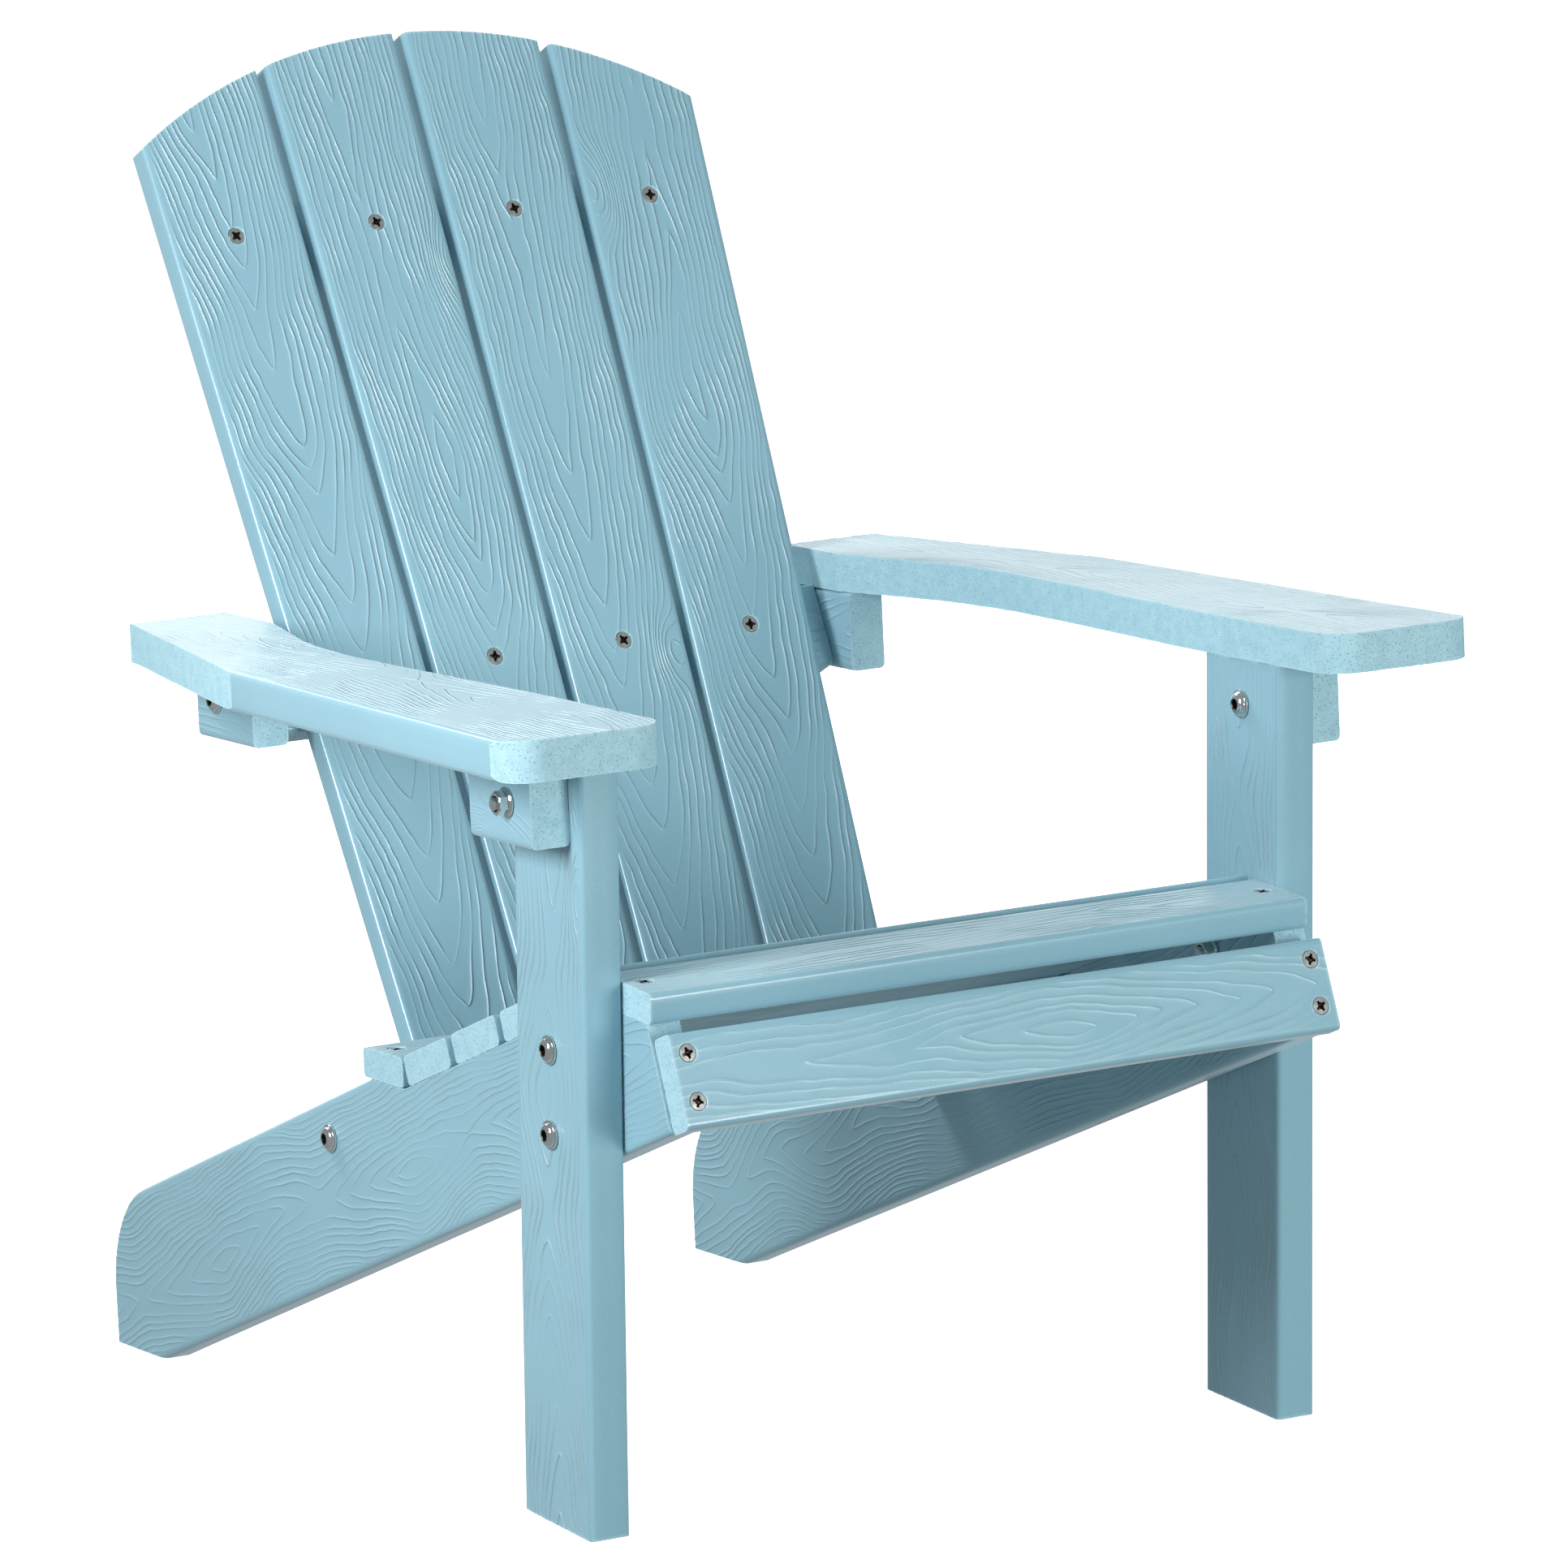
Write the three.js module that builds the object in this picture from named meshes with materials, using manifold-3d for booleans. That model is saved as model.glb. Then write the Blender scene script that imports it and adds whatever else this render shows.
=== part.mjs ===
// A child's adirondack chair in embossed plastic lumber. Two sloping stringers double as the rear
// legs, two posts are the front legs, and two arms rest on the posts and on blocks. Four tapered
// slats on three rails make the back; six slats and an apron make the seat. Flange-head bolts,
// flange nuts and countersunk screws hold it together.
//
// Millimetres, +Z up. The chair faces -Y and is symmetric about X = 0; the floor is Z = 0.
// "left" and "right" are the sitter's.

import * as THREE from 'three';
import { mergeVertices } from 'three/addons/utils/BufferGeometryUtils.js';
import Module from 'manifold-3d';

const wasm = await Module();
wasm.setup();

// ------------------------------------------------------------------ driving dimensions

const radians = THREE.MathUtils.degToRad;

const CLEARANCE = 0.3; // between pieces that touch, and round every fastener
const ROUND_OVER = 2.5; // on the long edges of the lumber
const SPARE = 30; // how far stock runs past a sawn end

// Y is measured from the front bottom edge of the posts.
const POST = { inner: 176.6, thick: 20.6, depth: 64.8, lean: radians(3.96) };

const ARM = {
  underside: 367.1,
  thick: 18.9,
  front: -73.5,
  rear: 406,
  outerAtFront: 258.5,
  outerAtCut: 248,
  cutStart: 222,
  cutEnd: 401,
  outerAtRear: 211,
  innerAtRear: 158.5,
  innerAtFront: 176,
  cornerRadius: 18,
  scallopStart: 357,
  // The scallop in the inner edge, going forward from there: [distance from X = 0, Y].
  scallop: [[162, 342], [170, 312], [178, 278], [182.5, 235], [182.5, 195], [180, 135], [178.2, 100],
    [176.8, 65], [176, 42]],
};

const FRONT_BLOCK = { inner: 197.6, thick: 19.5, front: -13.6, rear: 44.8, bottom: 325.7 };
const REAR_BLOCK = { inner: 158.6, thick: 19, front: 344.3, rear: 403.7, bottom: 327.3 };

const STRINGER = {
  inner: 159.7,
  thick: 16.6,
  width: 85.1,
  slope: radians(19.85),
  length: 577.8, // along the underside, from the front end to the floor
  footFront: 487,
  footRear: 539,
  rearRadius: 63,
};

const SLAT_THICK = 14.5;

const SEAT = {
  halfLength: 176.3,
  slatWidth: 47.5,
  pitch: 53.3,
  slope: radians(19.4),
  slopedSlats: 4,
  start: { y: 205.4, z: 194.9 }, // rear top edge of the rearmost sloping slat
  level: { front: 206, top: 193.9, width: 41, screwBack: 25 },
  nose: { y: 4, z: 262.4, tilt: radians(4.66) }, // rear top edge of the front slat
  screwX: 166.5,
};

const APRON = { halfLength: 175, bottom: -1, top: 43.5, screwX: 167, screwsBelowTop: [9.8, 32.3] };

const BACK = {
  y: 262.9, // front face of the slats at the middle of the lower rail
  z: 154.5,
  tilt: radians(25.1),
  slats: 4,
  halfWidth: 132.2,
  flare: 0.047, // growth of the half-width per millimetre of height
  gap: 4,
  gapFlare: 0.0027,
  bottom: -25,
  apex: 551.5,
  crownRadius: 274,
};

const RAIL = { thick: 19.3, width: 42.6 };
const RAILS = [
  { name: 'lower', height: 0, halfLength: 159.4 },
  { name: 'mid', height: 222.3, halfLength: 158.2 },
  { name: 'upper', height: 453, halfLength: 138 },
];

const BOLT = { radius: 3, headRadius: 6.9, flangeThick: 1.2, domeRadius: 5.6, headHeight: 3.8 };
const SOCKET = { acrossFlats: 4, depth: 2.2 };
const NUT = { flangeRadius: 7.1, acrossFlats: 10, flangeThick: 1.4, height: 6 };
const SCREW = { headRadius: 4.1, rim: 0.5, coneDepth: 3, radius: 2, length: 30, pointLength: 5 };
const RECESS = { span: 4.6, width: 1.1, depth: 1.8 };

const POST_BOLT_HEIGHTS = { upper: 226, lower: 186 }; // up the post
const ARM_BOLT_HEIGHT = 344;
const REAR_BLOCK_BOLT = { y: 383, z: 347.4 };
const LOWER_RAIL_BOLT = { y: 286.3, z: 143.4 };
const RAIL_BOLT_LENGTH = 45;
const THREAD_SHOWING = 1.6; // beyond a nut

const FACETS = 16;
const DOME_STEPS = 4;
const EDGE_SEGMENTS = 3;
const CURVE_SEGMENTS = 8;

const LUMBER = { color: 0x8fc3cf, roughness: 0.5, metalness: 0 };
const STEEL = { color: 0xc9ccce, roughness: 0.2, metalness: 1 };

const SIDES = { left: 1, right: -1 };

// ------------------------------------------------------------------ solids and meshes

function toSolid(geometry) {
  const bare = geometry.clone();
  bare.deleteAttribute('normal');
  bare.deleteAttribute('uv');
  const merged = mergeVertices(bare, 1e-4);
  return new wasm.Manifold(new wasm.Mesh({
    numProp: 3,
    vertProperties: new Float32Array(merged.attributes.position.array),
    triVerts: new Uint32Array(merged.index.array),
  }));
}

function toGeometry(solid) {
  const mesh = solid.getMesh();
  const geometry = new THREE.BufferGeometry();
  geometry.setAttribute('position', new THREE.BufferAttribute(mesh.vertProperties, 3));
  geometry.setIndex(new THREE.BufferAttribute(mesh.triVerts, 1));
  geometry.computeVertexNormals();
  return geometry;
}

// A plane that a board or a fastener is laid out in: X runs across the chair, Y up the board's
// width and Z out of its face.
function plane(y, z, angle) {
  return new THREE.Matrix4().makeRotationX(angle).setPosition(0, y, z);
}

// The side view: an outline in (Y, Z), extruded along +X from the given X.
function sideView(x) {
  const basis = new THREE.Matrix4().makeBasis(
    new THREE.Vector3(0, 1, 0),
    new THREE.Vector3(0, 0, 1),
    new THREE.Vector3(1, 0, 0),
  );
  return basis.setPosition(x, 0, 0);
}

function polygon(points) {
  return new THREE.Shape(points.map(([x, y]) => new THREE.Vector2(x, y)));
}

function rectangle(x0, x1, y0, y1) {
  return polygon([[x0, y0], [x1, y0], [x1, y1], [x0, y1]]);
}

// Lumber with rounded edges round the stock outline, sawn square through along the saw outline.
// Both are drawn in the same plane, and the board is its thickness deep from there.
function board(stock, saw, thick) {
  const lumber = new THREE.ExtrudeGeometry(stock, {
    depth: thick - 2 * ROUND_OVER,
    curveSegments: CURVE_SEGMENTS,
    bevelThickness: ROUND_OVER,
    bevelSize: ROUND_OVER,
    bevelOffset: -ROUND_OVER,
    bevelSegments: EDGE_SEGMENTS,
  });
  const offcut = new THREE.ExtrudeGeometry(saw, {
    depth: thick + 2 * SPARE,
    curveSegments: CURVE_SEGMENTS,
    bevelEnabled: false,
  });
  lumber.translate(0, 0, ROUND_OVER);
  offcut.translate(0, 0, -SPARE);
  return toGeometry(toSolid(lumber).intersect(toSolid(offcut)));
}

// A straight board across the chair, its face at Z = 0 and its body behind that.
function crossBoard(halfLength, y0, y1, thick) {
  const stock = rectangle(-halfLength - SPARE, halfLength + SPARE, y0, y1);
  const saw = rectangle(-halfLength, halfLength, y0 - SPARE, y1 + SPARE);
  return board(stock, saw, thick).translate(0, 0, -thick);
}

// ------------------------------------------------------------------ fasteners, axis +Z

function turned(profile) {
  const points = profile.map(([x, y]) => new THREE.Vector2(x, y));
  return new THREE.LatheGeometry(points, FACETS).rotateX(Math.PI / 2);
}

function rod(radius, z0, z1, facets = FACETS) {
  const upright = new THREE.CylinderGeometry(radius, radius, z1 - z0, facets);
  return upright.rotateX(Math.PI / 2).translate(0, 0, (z0 + z1) / 2);
}

// A flange button-head bolt with a hexagon socket; the flange bears on Z = 0.
function boltShape(length) {
  const profile = [
    [0, -length],
    [BOLT.radius, -length],
    [BOLT.radius, 0],
    [BOLT.headRadius, 0],
    [BOLT.headRadius, BOLT.flangeThick],
  ];
  for (let i = 0; i < DOME_STEPS; i += 1) {
    const turn = (i / DOME_STEPS) * (Math.PI / 2);
    const rise = (BOLT.headHeight - BOLT.flangeThick) * Math.sin(turn);
    profile.push([BOLT.domeRadius * Math.cos(turn), BOLT.flangeThick + rise]);
  }
  profile.push([0, BOLT.headHeight]);
  const floor = BOLT.headHeight - SOCKET.depth;
  const socket = rod(SOCKET.acrossFlats / Math.sqrt(3), floor, BOLT.headHeight + SPARE, 6);
  return toGeometry(toSolid(turned(profile)).subtract(toSolid(socket)));
}

// A hexagon nut with a flange that bears on Z = 0.
function nutShape() {
  const corner = NUT.acrossFlats / Math.sqrt(3);
  const flange = turned([[0, 0], [NUT.flangeRadius, 0], [corner, NUT.flangeThick], [0, NUT.flangeThick]]);
  const hexagon = rod(corner, 0, NUT.height, 6);
  const bore = rod(BOLT.radius + CLEARANCE, -SPARE, NUT.height + SPARE);
  return toGeometry(toSolid(flange).add(toSolid(hexagon)).subtract(toSolid(bore)));
}

// The outline of a countersunk screw whose head is level with Z = 0, or of the hole it needs.
function screwProfile(grow, mouth) {
  return [
    [0, -SCREW.length - grow],
    [SCREW.radius + grow, SCREW.pointLength - SCREW.length - grow],
    [SCREW.radius + grow, -SCREW.coneDepth - grow],
    [SCREW.headRadius + grow, -SCREW.rim - grow],
    [SCREW.headRadius + grow, mouth],
    [0, mouth],
  ];
}

function screwShape() {
  const across = new THREE.BoxGeometry(RECESS.span, RECESS.width, 2 * RECESS.depth);
  const along = new THREE.BoxGeometry(RECESS.width, RECESS.span, 2 * RECESS.depth);
  const body = toSolid(turned(screwProfile(0, 0)));
  return toGeometry(body.subtract(toSolid(across)).subtract(toSolid(along)));
}

// ------------------------------------------------------------------ the chair, piece by piece

const boards = [];
const fasteners = [];
const holes = [];

function addBoard(name, geometry, place) {
  boards.push({ name, geometry: geometry.applyMatrix4(place) });
}

function addFastener(name, geometry, place) {
  fasteners.push({ name, geometry: geometry.applyMatrix4(place) });
}

// A bolt along X with its head on the face at x, pointing the way of headSide (+1 or -1).
function addBolt(name, length, x, at, headSide) {
  const place = new THREE.Matrix4().makeRotationY(headSide * Math.PI / 2);
  place.setPosition(x + headSide * CLEARANCE, at.y, at.z);
  addFastener(name, boltShape(length), place);
  const hole = rod(BOLT.radius + CLEARANCE, -length - 1, 0);
  holes.push(toSolid(hole.applyMatrix4(place)));
}

function addNut(name, x, at, outward) {
  const place = new THREE.Matrix4().makeRotationY(outward * Math.PI / 2);
  place.setPosition(x + outward * CLEARANCE, at.y, at.z);
  addFastener(name, nutShape(), place);
}

// A screw driven into a face, at (x, y) of the face's own plane.
function addScrew(name, x, y, facePlane) {
  const place = facePlane.clone().multiply(new THREE.Matrix4().makeTranslation(x, y, -CLEARANCE));
  addFastener(name, screwShape(), place);
  const hole = turned(screwProfile(CLEARANCE, SCREW.rim + 1));
  holes.push(toSolid(hole.applyMatrix4(place)));
}

// Where a board of the given thickness starts in X, when its inner face is at the given distance.
function startX(side, inner, thick) {
  return side > 0 ? inner : -inner - thick;
}

function postPoint(depth, height) {
  return {
    y: depth * Math.cos(POST.lean) - height * Math.sin(POST.lean),
    z: depth * Math.sin(POST.lean) + height * Math.cos(POST.lean),
  };
}

// ---- seat

const LEVEL_PLANE = plane(SEAT.level.front, SEAT.level.top, 0);
const NOSE_PLANE = plane(SEAT.nose.y, SEAT.nose.z, SEAT.nose.tilt);

addBoard('seat_slat_1', crossBoard(SEAT.halfLength, -SEAT.slatWidth, 0, SLAT_THICK), NOSE_PLANE);
for (let i = 0; i < SEAT.slopedSlats; i += 1) {
  const up = (SEAT.slopedSlats - 1 - i) * SEAT.pitch;
  const y = SEAT.start.y - up * Math.cos(SEAT.slope);
  const z = SEAT.start.z + up * Math.sin(SEAT.slope);
  const slat = crossBoard(SEAT.halfLength, -SEAT.slatWidth, 0, SLAT_THICK);
  addBoard(`seat_slat_${i + 2}`, slat, plane(y, z, -SEAT.slope));
}
addBoard('seat_slat_6', crossBoard(SEAT.halfLength, 0, SEAT.level.width, SLAT_THICK), LEVEL_PLANE);

for (const [label, side] of Object.entries(SIDES)) {
  addScrew(`seat_screw_front_${label}`, side * SEAT.screwX, -SEAT.slatWidth / 2, NOSE_PLANE);
  addScrew(`seat_screw_rear_${label}`, side * SEAT.screwX, SEAT.level.screwBack, LEVEL_PLANE);
}

// ---- stringers and apron

const SLOPE_SIN = Math.sin(STRINGER.slope);
const SLOPE_COS = Math.cos(STRINGER.slope);

const FRONT_END = {
  y: STRINGER.footFront - STRINGER.length * SLOPE_COS,
  z: STRINGER.length * SLOPE_SIN,
};

// The line on which slats rest: a point and a rise per millimetre of Y.
function restingLine(top, angle) {
  const down = SLAT_THICK + CLEARANCE;
  return { y: top.y + down * Math.sin(angle), z: top.z - down * Math.cos(angle), rise: Math.tan(angle) };
}

function heightOn(line, y) {
  return line.z + (y - line.y) * line.rise;
}

function crossing(a, b) {
  const y = (heightOn(b, 0) - heightOn(a, 0)) / (a.rise - b.rise);
  return [y, heightOn(a, y)];
}

function stringerSaw() {
  const under = { y: STRINGER.footFront, z: 0, rise: -SLOPE_SIN / SLOPE_COS };
  const upper = { y: STRINGER.footFront, z: STRINGER.width / SLOPE_COS, rise: under.rise };
  const frontEnd = { y: FRONT_END.y, z: FRONT_END.z, rise: SLOPE_COS / SLOPE_SIN };
  const nose = restingLine(SEAT.nose, SEAT.nose.tilt);
  const sloped = restingLine(SEAT.start, -SEAT.slope);
  const level = restingLine({ y: SEAT.level.front, z: SEAT.level.top }, 0);
  const radius = STRINGER.rearRadius;
  const centreY = STRINGER.footRear - radius;
  const centreZ = heightOn(upper, centreY) - radius / SLOPE_COS;
  const outline = new THREE.Shape();
  outline.moveTo(STRINGER.footFront, 0);
  outline.lineTo(STRINGER.footRear, 0);
  outline.absarc(centreY, centreZ, radius, 0, Math.PI / 2 - STRINGER.slope, false);
  outline.lineTo(...crossing(upper, level));
  outline.lineTo(...crossing(level, sloped));
  outline.lineTo(...crossing(sloped, nose));
  outline.lineTo(...crossing(nose, frontEnd));
  outline.lineTo(FRONT_END.y, FRONT_END.z);
  return outline;
}

// The stringer before it is sawn: a straight sloping board that runs on past both ends.
function stringerStock() {
  const corner = (along, up) => [
    STRINGER.footFront - along * SLOPE_COS + up * SLOPE_SIN,
    along * SLOPE_SIN + up * SLOPE_COS,
  ];
  const rear = -3 * SPARE;
  const front = STRINGER.length + SPARE;
  return polygon([
    corner(rear, 0),
    corner(rear, STRINGER.width),
    corner(front, STRINGER.width),
    corner(front, 0),
  ]);
}

const APRON_PLANE = plane(
  FRONT_END.y - (SLAT_THICK + CLEARANCE) * SLOPE_COS,
  FRONT_END.z + (SLAT_THICK + CLEARANCE) * SLOPE_SIN,
  Math.PI / 2 - STRINGER.slope,
);
addBoard('apron', crossBoard(APRON.halfLength, APRON.bottom, APRON.top, SLAT_THICK), APRON_PLANE);

for (const [label, side] of Object.entries(SIDES)) {
  const x = startX(side, STRINGER.inner, STRINGER.thick);
  addBoard(`${label}_stringer`, board(stringerStock(), stringerSaw(), STRINGER.thick), sideView(x));
  APRON.screwsBelowTop.forEach((drop, i) => {
    addScrew(`apron_screw_${label}_${i + 1}`, side * APRON.screwX, APRON.top - drop, APRON_PLANE);
  });
}

// ---- posts, arms and their blocks

const ARM_REST = ARM.underside - CLEARANCE;

function postStock() {
  const top = ARM.underside + SPARE;
  const corners = [[0, -SPARE], [POST.depth, -SPARE], [POST.depth, top], [0, top]];
  return polygon(corners.map(([depth, height]) => Object.values(postPoint(depth, height))));
}

function postSaw() {
  const { y, z } = postPoint(2 * POST.depth, 0);
  return polygon([[-y, -z], [y, z], [y, ARM_REST], [-y, ARM_REST]]);
}

// Half of the arms' plan: X is the distance from the chair's middle.
function armSaw() {
  const r = ARM.cornerRadius;
  const taper = Math.atan2(ARM.outerAtFront - ARM.outerAtCut, ARM.cutStart - ARM.front);
  const outerCentre = ARM.outerAtFront - r / Math.cos(taper) - r * Math.tan(taper);
  const outline = new THREE.Shape();
  outline.moveTo(ARM.innerAtRear, ARM.rear);
  outline.lineTo(ARM.innerAtRear, ARM.scallopStart);
  outline.splineThru(ARM.scallop.map(([x, y]) => new THREE.Vector2(x, y)));
  outline.absarc(ARM.innerAtFront + r, ARM.front + r, r, Math.PI, 1.5 * Math.PI, false);
  outline.absarc(outerCentre, ARM.front + r, r, -Math.PI / 2, taper, false);
  outline.lineTo(ARM.outerAtCut, ARM.cutStart);
  outline.lineTo(ARM.outerAtRear, ARM.cutEnd);
  outline.lineTo(ARM.outerAtRear, ARM.rear);
  return outline;
}

// Only the arm's outer edge in front of the diagonal cut is the lumber's own rounded edge.
function armStock() {
  const taper = (ARM.outerAtFront - ARM.outerAtCut) / (ARM.cutStart - ARM.front);
  const outerAt = (y) => ARM.outerAtFront - (y - ARM.front) * taper;
  const front = ARM.front - SPARE;
  const rear = ARM.rear + SPARE;
  const inner = ARM.innerAtRear - SPARE;
  return polygon([[inner, front], [outerAt(front), front], [outerAt(rear), rear], [inner, rear]]);
}

function armBlock({ thick, front, rear, bottom }) {
  const stock = rectangle(front - SPARE, rear + SPARE, bottom, ARM_REST);
  return board(stock, rectangle(front, rear, bottom - SPARE, ARM_REST + SPARE), thick);
}

for (const [label, side] of Object.entries(SIDES)) {
  const postX = startX(side, POST.inner, POST.thick);
  addBoard(`${label}_post`, board(postStock(), postSaw(), POST.thick), sideView(postX));

  const armSolid = toSolid(board(armStock(), armSaw(), ARM.thick));
  const arm = toGeometry(side > 0 ? armSolid : armSolid.mirror([1, 0, 0]));
  addBoard(`${label}_arm`, arm, new THREE.Matrix4().makeTranslation(0, 0, ARM.underside));

  const frontX = startX(side, FRONT_BLOCK.inner, FRONT_BLOCK.thick);
  const rearX = startX(side, REAR_BLOCK.inner, REAR_BLOCK.thick);
  addBoard(`${label}_front_block`, armBlock(FRONT_BLOCK), sideView(frontX));
  addBoard(`${label}_rear_block`, armBlock(REAR_BLOCK), sideView(rearX));
}

// ---- back

const BACK_PLANE = plane(BACK.y, BACK.z, Math.PI / 2 - BACK.tilt);
const RAIL_PLANE = BACK_PLANE.clone().multiply(
  new THREE.Matrix4().makeTranslation(0, 0, -SLAT_THICK - CLEARANCE));

// The two edges of a back slat at a height: the slats share the width that the fan has there.
function slatEdges(index, height) {
  const halfWidth = BACK.halfWidth + BACK.flare * height;
  const gap = BACK.gap + BACK.gapFlare * height;
  const pitch = (2 * halfWidth + gap) / BACK.slats;
  const start = -halfWidth + index * pitch;
  return [start, start + pitch - gap];
}

function backSlat(index) {
  const low = BACK.bottom - SPARE;
  const high = BACK.apex + SPARE;
  const [low0, low1] = slatEdges(index, low);
  const [high0, high1] = slatEdges(index, high);
  const stock = polygon([[low0, low], [low1, low], [high1, high], [high0, high]]);
  const crown = new THREE.Shape();
  const r = BACK.crownRadius;
  crown.moveTo(-r, BACK.bottom);
  crown.lineTo(r, BACK.bottom);
  crown.absarc(0, BACK.apex - r, r, 0, Math.PI, false);
  return board(stock, crown, SLAT_THICK).translate(0, 0, -SLAT_THICK);
}

for (let i = 0; i < BACK.slats; i += 1) {
  addBoard(`back_slat_${i + 1}`, backSlat(i), BACK_PLANE);
}
for (const { name, height, halfLength } of RAILS) {
  const half = RAIL.width / 2;
  const rail = crossBoard(halfLength, height - half, height + half, RAIL.thick);
  addBoard(`${name}_back_rail`, rail, RAIL_PLANE);
  for (let i = 0; i < BACK.slats; i += 1) {
    const [x0, x1] = slatEdges(i, height);
    addScrew(`back_screw_${name}_${i + 1}`, (x0 + x1) / 2, height, BACK_PLANE);
  }
}

// ---- bolts and nuts

const POST_OUTER = POST.inner + POST.thick;
const STRINGER_OUTER = STRINGER.inner + STRINGER.thick;
const FRONT_BLOCK_OUTER = FRONT_BLOCK.inner + FRONT_BLOCK.thick;
const REAR_BLOCK_OUTER = REAR_BLOCK.inner + REAR_BLOCK.thick;
const NUT_ALLOWANCE = NUT.height + 2 * CLEARANCE + THREAD_SHOWING;

for (const [label, side] of Object.entries(SIDES)) {
  for (const [row, height] of Object.entries(POST_BOLT_HEIGHTS)) {
    const at = postPoint(POST.depth / 2, height);
    const length = POST_OUTER - STRINGER.inner + NUT_ALLOWANCE;
    addBolt(`${label}_post_bolt_${row}`, length, side * POST_OUTER, at, side);
    addNut(`${label}_post_nut_${row}`, side * STRINGER.inner, at, -side);
  }
  const armBoltAt = postPoint(POST.depth / 2, ARM_BOLT_HEIGHT);
  const armBoltLength = FRONT_BLOCK_OUTER - POST.inner + NUT_ALLOWANCE;
  addBolt(`${label}_arm_bolt`, armBoltLength, side * POST.inner, armBoltAt, -side);
  addNut(`${label}_arm_nut`, side * FRONT_BLOCK_OUTER, armBoltAt, side);
  addBolt(`${label}_mid_rail_bolt`, RAIL_BOLT_LENGTH, side * REAR_BLOCK_OUTER, REAR_BLOCK_BOLT, side);
  addBolt(`${label}_lower_rail_bolt`, RAIL_BOLT_LENGTH, side * STRINGER_OUTER, LOWER_RAIL_BOLT, side);
}

// ------------------------------------------------------------------ assembly

const chair = new THREE.Group();
chair.position.y = -(ARM.front + STRINGER.footRear) / 2;

function addMesh(name, geometry, finish) {
  const mesh = new THREE.Mesh(geometry, new THREE.MeshStandardMaterial(finish));
  mesh.name = name;
  chair.add(mesh);
}

const allHoles = wasm.Manifold.union(holes);
for (const { name, geometry } of boards) {
  addMesh(name, toGeometry(toSolid(geometry).subtract(allHoles)), LUMBER);
}
for (const { name, geometry } of fasteners) {
  addMesh(name, geometry, STEEL);
}

export default chair;
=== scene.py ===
"""A child's adirondack chair in embossed plastic lumber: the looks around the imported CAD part."""

import math  # noqa: E402

import bpy  # noqa: E402
import numpy as np  # noqa: E402
from mathutils import Matrix, Vector  # noqa: E402


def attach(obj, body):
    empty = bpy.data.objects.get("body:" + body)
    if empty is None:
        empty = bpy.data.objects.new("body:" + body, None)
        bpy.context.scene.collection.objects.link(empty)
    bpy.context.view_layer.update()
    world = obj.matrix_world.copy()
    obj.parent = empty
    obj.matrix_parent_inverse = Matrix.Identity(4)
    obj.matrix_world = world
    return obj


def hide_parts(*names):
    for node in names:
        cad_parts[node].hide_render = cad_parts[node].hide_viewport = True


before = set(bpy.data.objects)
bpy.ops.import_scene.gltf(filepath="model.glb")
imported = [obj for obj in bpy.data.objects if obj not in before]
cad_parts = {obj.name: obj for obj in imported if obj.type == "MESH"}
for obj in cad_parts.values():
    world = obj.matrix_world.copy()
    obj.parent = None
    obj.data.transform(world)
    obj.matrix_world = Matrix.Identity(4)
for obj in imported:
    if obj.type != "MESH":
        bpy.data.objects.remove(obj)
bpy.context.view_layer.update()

# ---------------------------------------------------------------- dimensions, in millimetres

MM = 0.001
ORIGIN_Y = 232.75  # the frame's origin, behind the front bottom edge of the posts
ROUND = 2.6  # round-over on the lumber's own edges
CLEARANCE = 0.3
SPARE = 12.0  # how far stock runs past a sawn end
RELIEF = 0.26  # how far the highest ridges of the embossing stand out
SIDES = {"left": 1, "right": -1}

POST_INNER, POST_THICK, POST_DEPTH, POST_LEAN = 176.6, 20.6, 64.8, math.radians(3.96)
ARM_UNDERSIDE, ARM_THICK, ARM_FRONT, ARM_REAR, ARM_CORNER = 367.1, 18.9, -73.5, 406.0, 18.0
ARM_OUTER_FRONT, ARM_OUTER_CUT, ARM_CUT_START = 258.5, 248.0, 222.0
ARM_OUTER_REAR, ARM_CUT_END, ARM_INNER_REAR, ARM_INNER_FRONT = 211.0, 401.0, 158.5, 176.0
ARM_SCALLOP = [
    (158.5, 357), (162, 342), (170, 312), (178, 278), (182.5, 235), (182.5, 195), (180, 135),
    (178.2, 100), (176.8, 65), (176, 42),
]
FRONT_BLOCK = {"inner": 197.6, "thick": 19.5, "front": -13.6, "rear": 44.8, "bottom": 325.7}
REAR_BLOCK = {"inner": 158.6, "thick": 19.0, "front": 344.3, "rear": 403.7, "bottom": 327.3}
STRINGER_INNER, STRINGER_THICK, STRINGER_WIDTH = 159.7, 16.6, 85.1
STRINGER_SLOPE, STRINGER_LENGTH = math.radians(19.85), 577.8
FOOT_FRONT, FOOT_REAR, STRINGER_RADIUS = 487.0, 539.0, 63.0
SLAT = 14.5
STAND_OFF = SLAT + CLEARANCE  # from what a slat lies on to the slat's outer face
SEAT_HALF, SEAT_WIDTH, SEAT_PITCH, SEAT_SLOPE = 176.3, 47.5, 53.3, math.radians(19.4)
SEAT_START = (205.4, 194.9)
LEVEL_FRONT, LEVEL_TOP, LEVEL_WIDTH = 206.0, 193.9, 41.0
NOSE, NOSE_TILT = (4.0, 262.4), math.radians(4.66)
APRON_HALF, APRON_BOTTOM, APRON_TOP = 175.0, -1.0, 43.5
BACK, BACK_TILT = (262.9, 154.5), math.radians(25.1)
BACK_BOTTOM, BACK_APEX, CROWN_RADIUS = -25.0, 551.5, 274.0
RAIL_THICK, RAIL_WIDTH = 19.3, 42.6
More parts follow.
